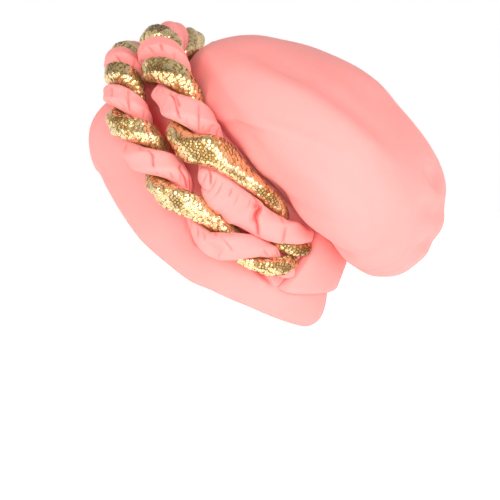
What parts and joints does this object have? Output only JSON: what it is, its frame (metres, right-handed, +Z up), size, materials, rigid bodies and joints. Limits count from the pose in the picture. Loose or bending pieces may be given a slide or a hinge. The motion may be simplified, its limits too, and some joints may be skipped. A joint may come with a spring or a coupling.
{
  "type": "turban cap",
  "caption": "Soft turban cap with a slouched crown, a wide headband and twisted ropes of coral cloth and gold sequins laid ear to ear over the front.",
  "frame": {"origin": "centre of the head opening, midway between the forehead hem and the nape hem", "axes": "+Z up as worn, -Y toward the face, +X toward the wearer's left ear"},
  "size_m": [0.2372, 0.2927, 0.2449],
  "materials": {
    "cap_cloth": "smooth stretch crepe with a soft sheen",
    "rope_cloth": "the same cloth over soft padding, creased by the twist",
    "sequin_cloth": "cloth covered with small round gold sequins over soft padding"
  },
  "bodies": {
    "root": {"headband": "cap_cloth", "crown": "cap_cloth", "nape_panel": "cap_cloth", "front_rope_coral": "rope_cloth", "front_rope_gold": "sequin_cloth", "back_rope_coral": "rope_cloth", "back_rope_gold": "sequin_cloth"}
  },
  "joints": []
}
